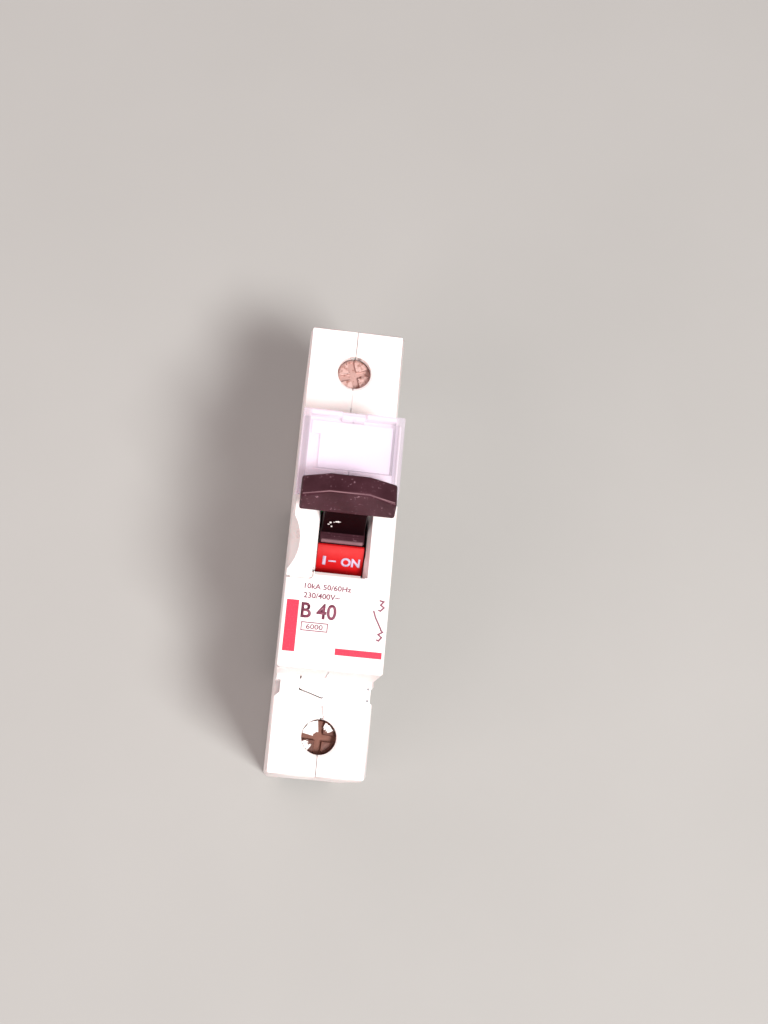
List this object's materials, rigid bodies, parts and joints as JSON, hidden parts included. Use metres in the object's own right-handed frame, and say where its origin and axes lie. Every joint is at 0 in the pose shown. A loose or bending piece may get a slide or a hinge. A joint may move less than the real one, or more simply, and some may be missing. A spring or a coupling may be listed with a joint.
{
  "type": "circuit breaker",
  "caption": "Single-pole miniature circuit breaker for a DIN rail: toggle, contacts, arc chamber, magnetic and thermal trip, screw terminals, rail clip and hinged label cover.",
  "frame": {"origin": "centre of the DIN-rail seat on the breaker's back", "axes": "+Z out of the front face, +Y towards the line terminal, +X to the right seen from the front"},
  "size_m": [0.0176, 0.0832, 0.0752],
  "materials": {
    "white_plastic": "satin, lightly worn",
    "aubergine_plastic": "satin",
    "red_plastic": "satin",
    "green_plastic": "satin",
    "violet_clear_plastic": "clear with a violet tint",
    "label_card": "matt",
    "zinc_plated_steel": "zinc plated",
    "spring_steel": "drawn",
    "copper": "bright copper",
    "silver_contact": "silver alloy",
    "nickel_bronze": "worn nickel over brass",
    "bimetal": "rolled",
    "fibre": "vulcanised fibre",
    "lever_plastic": "moulded",
    "clip_plastic": "moulded"
  },
  "bodies": {
    "housing": {"housing_right": "white_plastic", "housing_left": "white_plastic", "handle_pin": "zinc_plated_steel", "handle_spring": "spring_steel", "arm_pin": "zinc_plated_steel", "contact_spring": "spring_steel", "fixed_contact_plate": "copper", "fixed_contact": "silver_contact", "arc_runner_line": "zinc_plated_steel", "arc_runner_load": "copper", "arc_cheek_left": "fibre", "arc_cheek_right": "fibre", "vent_baffle": "fibre", "solenoid_coil": "copper", "solenoid_bobbin": "lever_plastic", "solenoid_core": "zinc_plated_steel", "plunger_spring": "spring_steel", "magnet_yoke": "zinc_plated_steel", "bimetal_strip": "bimetal", "calibration_screw": "nickel_bronze", "flexible_braid": "copper", "trip_pin": "zinc_plated_steel", "trip_spring": "spring_steel", "line_busbar": "copper", "load_busbar": "copper", "din_clip_spring": "spring_steel", "label_card": "label_card", "rivet_1": "zinc_plated_steel", "rivet_2": "zinc_plated_steel", "rivet_3": "zinc_plated_steel", "rivet_4": "zinc_plated_steel", "rivet_5": "zinc_plated_steel", "arc_plate_1": "zinc_plated_steel", "arc_plate_2": "zinc_plated_steel", "arc_plate_3": "zinc_plated_steel", "arc_plate_4": "zinc_plated_steel", "arc_plate_5": "zinc_plated_steel", "arc_plate_6": "zinc_plated_steel", "arc_plate_7": "zinc_plated_steel", "arc_plate_8": "zinc_plated_steel", "arc_plate_9": "zinc_plated_steel"},
    "toggle": {"handle": "aubergine_plastic", "on_flag": "red_plastic", "off_flag": "green_plastic"},
    "link": {"toggle_link": "zinc_plated_steel"},
    "contact_arm": {"arm_carrier": "lever_plastic", "contact_arm": "copper", "moving_contact": "silver_contact"},
    "trip_lever": {"trip_lever": "lever_plastic"},
    "plunger": {"solenoid_plunger": "zinc_plated_steel"},
    "cover": {"label_cover": "violet_clear_plastic"},
    "line_screw": {"line_screw": "nickel_bronze"},
    "load_screw": {"load_screw": "nickel_bronze"},
    "line_cage": {"line_cage": "zinc_plated_steel"},
    "load_cage": {"load_cage": "zinc_plated_steel"},
    "clip": {"din_clip": "clip_plastic"}
  },
  "joints": [
    {"name": "toggle_pivot", "type": "hinge", "parent": "housing", "child": "toggle", "pos_m": [0, 0, 0.051], "axis": [1, 0, 0], "range_deg": [0, 45], "deforming": ["handle_spring"]},
    {"name": "link_pivot", "type": "hinge", "parent": "toggle", "child": "link", "pos_m": [0, -0.00191, 0.04638], "axis": [1, 0, 0], "range_deg": [-57, 0]},
    {"name": "arm_pivot", "type": "hinge", "parent": "housing", "child": "contact_arm", "pos_m": [0, 0, 0.033], "axis": [1, 0, 0], "range_deg": [-20, 0], "deforming": ["contact_spring", "flexible_braid"]},
    {"name": "trip_pivot", "type": "hinge", "parent": "housing", "child": "trip_lever", "pos_m": [0, -0.009, 0.04], "axis": [1, 0, 0], "range_deg": [-8, 0], "stiffness_Nm_per_rad": 0.002, "deforming": ["trip_spring"]},
    {"name": "plunger_slide", "type": "slide", "parent": "housing", "child": "plunger", "axis": [0, -1, 0], "range_m": [0, 0.002], "stiffness_N_per_m": 60, "deforming": ["plunger_spring"]},
    {"name": "cover_hinge", "type": "hinge", "parent": "housing", "child": "cover", "pos_m": [0, 0.0102, 0.0578], "axis": [1, 0, 0], "range_deg": [0, 70]},
    {"name": "line_screw_turn", "type": "hinge", "parent": "housing", "child": "line_screw", "pos_m": [0, 0.0351, 0.04], "axis": [0, 0, -1], "range_deg": [0, 3601]},
    {"name": "load_screw_turn", "type": "hinge", "parent": "housing", "child": "load_screw", "pos_m": [0, -0.0328, 0.04], "axis": [0, 0, -1], "range_deg": [0, 3601]},
    {"name": "line_cage_slide", "type": "slide", "parent": "housing", "child": "line_cage", "axis": [0, 0, 1], "range_m": [0, 0.008]},
    {"name": "load_cage_slide", "type": "slide", "parent": "housing", "child": "load_cage", "axis": [0, 0, 1], "range_m": [0, 0.008]},
    {"name": "clip_slide", "type": "slide", "parent": "housing", "child": "clip", "axis": [0, -1, 0], "range_m": [0, 0.004], "stiffness_N_per_m": 800, "springref_m": -0.001, "deforming": ["din_clip_spring"]}
  ],
  "couplings": [
    {"joint": "link_pivot", "follows": "toggle_pivot", "ratio": -1.2551},
    {"joint": "arm_pivot", "follows": "toggle_pivot", "ratio": -0.44444},
    {"joint": "line_screw_turn", "follows": "line_cage_slide", "rad_per_m": 7854},
    {"joint": "load_screw_turn", "follows": "load_cage_slide", "rad_per_m": 7854}
  ]
}
